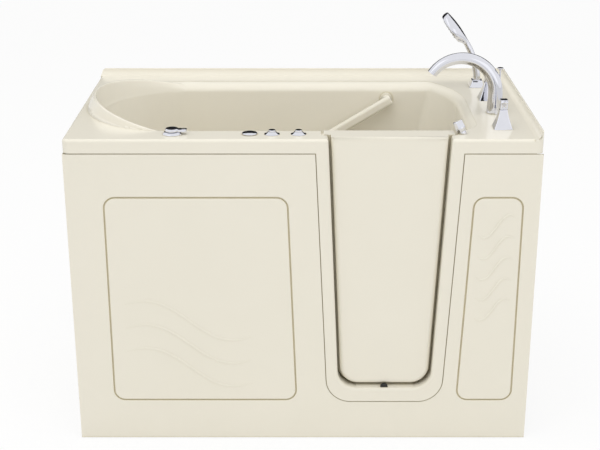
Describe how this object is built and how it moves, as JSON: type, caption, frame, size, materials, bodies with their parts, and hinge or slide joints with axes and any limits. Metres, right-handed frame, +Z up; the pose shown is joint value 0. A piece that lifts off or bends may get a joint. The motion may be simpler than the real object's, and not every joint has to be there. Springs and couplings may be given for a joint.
{
  "type": "walk-in jetted bathtub",
  "caption": "Walk-in jetted bathtub with a moulded seat, inward-opening door, deck taps with hand shower, air controls, jets and pump on a levelling frame.",
  "frame": {"origin": "on the floor, in the middle of the tub's footprint", "axes": "+X from the head end to the tap end, +Y from the front skirt to the back wall, +Z up"},
  "size_m": [1.346, 0.762, 1.1831],
  "materials": {
    "acrylic": "glossy biscuit acrylic",
    "chrome": "polished chrome plate",
    "stainless": "brushed stainless steel",
    "frame_paint": "grey powder coat on square steel tube",
    "zinc_steel": "zinc plated steel",
    "seal_rubber": "matt black rubber",
    "seal_silicone": "tan silicone rubber",
    "white_pvc": "white pipe plastic",
    "black_plastic": "moulded black plastic",
    "motor_paint": "dark grey enamel",
    "brass": "plain brass",
    "spray_plastic": "grey plastic with soft nubs"
  },
  "bodies": {
    "tub": {"air_button_bells": "chrome", "air_control_housing": "chrome", "door_seal": "seal_silicone", "drain_flange": "chrome", "end_skirt": "acrylic", "foot_lock_nuts": "zinc_steel", "frame_cross_rails": "frame_paint", "frame_long_rails": "frame_paint", "frame_uprights": "frame_paint", "front_skirt": "acrylic", "grab_bar": "acrylic", "hand_shower_holder": "chrome", "hinge_frame_leaves": "stainless", "hinge_frame_screws": "stainless", "hinge_pins": "stainless", "jet_bodies": "white_pvc", "jet_diverter_valve": "chrome", "jet_lock_nuts": "white_pvc", "jet_trim_rings": "chrome", "latch_keeper": "stainless", "leveling_feet": "zinc_steel", "overflow_pipe": "white_pvc", "pressure_pipe": "white_pvc", "pump_base": "black_plastic", "pump_motor": "motor_paint", "pump_volute": "black_plastic", "sill_weep_plug": "seal_rubber", "skirt_brackets": "frame_paint", "spout": "chrome", "suction_body": "white_pvc", "suction_cover": "chrome", "suction_pipe": "white_pvc", "tap_bases": "chrome", "tap_valves": "brass", "tub_shell": "acrylic", "waste_control": "chrome", "waste_elbow": "white_pvc"},
    "door": {"door_outer_shell": "acrylic", "door_inner_liner": "acrylic", "hinge_door_leaves": "stainless", "hinge_door_screws": "stainless", "latch_rose": "chrome"},
    "latch": {"latch_cam": "stainless", "latch_lever": "chrome"},
    "hot_tap": {"hot_lever": "chrome"},
    "cold_tap": {"cold_lever": "chrome"},
    "lift_rod": {"lift_knob": "chrome"},
    "shower": {"hand_shower": "chrome", "spray_face": "spray_plastic"},
    "air_knob": {"air_control_knob": "chrome"},
    "diverter": {"jet_diverter_lever": "chrome"},
    "button_left": {"air_button_left": "chrome"},
    "button_right": {"air_button_right": "chrome"},
    "waste_dial": {"waste_knob": "chrome"},
    "stopper": {"drain_stopper": "chrome"},
    "nozzle_back_head": {"jet_nozzle_back_head": "chrome"},
    "nozzle_back_seat": {"jet_nozzle_back_seat": "chrome"},
    "nozzle_foot_front": {"jet_nozzle_foot_front": "chrome"},
    "nozzle_foot_back": {"jet_nozzle_foot_back": "chrome"},
    "impeller": {"pump_impeller": "black_plastic"}
  },
  "joints": [
    {"name": "door_hinge", "type": "hinge", "parent": "tub", "child": "door", "pos_m": [0.435, -0.28, 0.56], "axis": [0, 0, -1], "range_deg": [0, 85]},
    {"name": "latch_turn", "type": "hinge", "parent": "door", "child": "latch", "pos_m": [0.114, -0.286, 0.8], "axis": [0, -1, 0], "range_deg": [0, 90]},
    {"name": "hot_turn", "type": "hinge", "parent": "tub", "child": "hot_tap", "pos_m": [0.573, -0.256, 0.945], "axis": [0, 0, -1], "range_deg": [0, 90]},
    {"name": "cold_turn", "type": "hinge", "parent": "tub", "child": "cold_tap", "pos_m": [0.573, 0.064, 0.945], "axis": [0, 0, -1], "range_deg": [0, 90]},
    {"name": "lift_rod_slide", "type": "slide", "parent": "tub", "child": "lift_rod", "axis": [0, 0, 1], "range_m": [0, 0.012]},
    {"name": "shower_lift", "type": "slide", "parent": "tub", "child": "shower", "axis": [0, 0, 1], "range_m": [0, 0.12]},
    {"name": "air_knob_turn", "type": "hinge", "parent": "tub", "child": "air_knob", "pos_m": [-0.15, -0.322, 0.945], "axis": [0, 0, 1], "range_deg": [0, 180]},
    {"name": "diverter_turn", "type": "hinge", "parent": "tub", "child": "diverter", "pos_m": [-0.369, -0.322, 0.945], "axis": [0, 0, 1], "range_deg": [-90, 90]},
    {"name": "button_left_press", "type": "slide", "parent": "tub", "child": "button_left", "axis": [0, 0, -1], "range_m": [0, 0.004], "stiffness_N_per_m": 600},
    {"name": "button_right_press", "type": "slide", "parent": "tub", "child": "button_right", "axis": [0, 0, -1], "range_m": [0, 0.004], "stiffness_N_per_m": 600},
    {"name": "waste_dial_turn", "type": "hinge", "parent": "tub", "child": "waste_dial", "pos_m": [0.452, -0.318, 0.945], "axis": [-0.4198, 0.1799, 0.8896], "range_deg": [0, 90]},
    {"name": "stopper_lift", "type": "slide", "parent": "tub", "child": "stopper", "axis": [0, 0, 1], "range_m": [0, 0.012]},
    {"name": "nozzle_back_head_turn", "type": "hinge", "parent": "tub", "child": "nozzle_back_head", "pos_m": [-0.293, 0.23217, 0.6], "axis": [0, -0.9986, 0.053], "range_deg": [0, 90]},
    {"name": "nozzle_back_seat_turn", "type": "hinge", "parent": "tub", "child": "nozzle_back_seat", "pos_m": [-0.113, 0.23217, 0.6], "axis": [0, -0.9986, 0.053], "range_deg": [0, 90]},
    {"name": "nozzle_foot_front_turn", "type": "hinge", "parent": "tub", "child": "nozzle_foot_front", "pos_m": [0.06, -0.14, 0.27], "axis": [1, 0, 0], "range_deg": [0, 90]},
    {"name": "nozzle_foot_back_turn", "type": "hinge", "parent": "tub", "child": "nozzle_foot_back", "pos_m": [0.06, 0.1, 0.27], "axis": [1, 0, 0], "range_deg": [0, 90]},
    {"name": "impeller_spin", "type": "hinge", "parent": "tub", "child": "impeller", "pos_m": [-0.17, -0.02, 0.19], "axis": [1, 0, 0], "continuous": true}
  ],
  "couplings": [
    {"joint": "waste_dial_turn", "follows": "stopper_lift", "rad_per_m": 130.89}
  ]
}
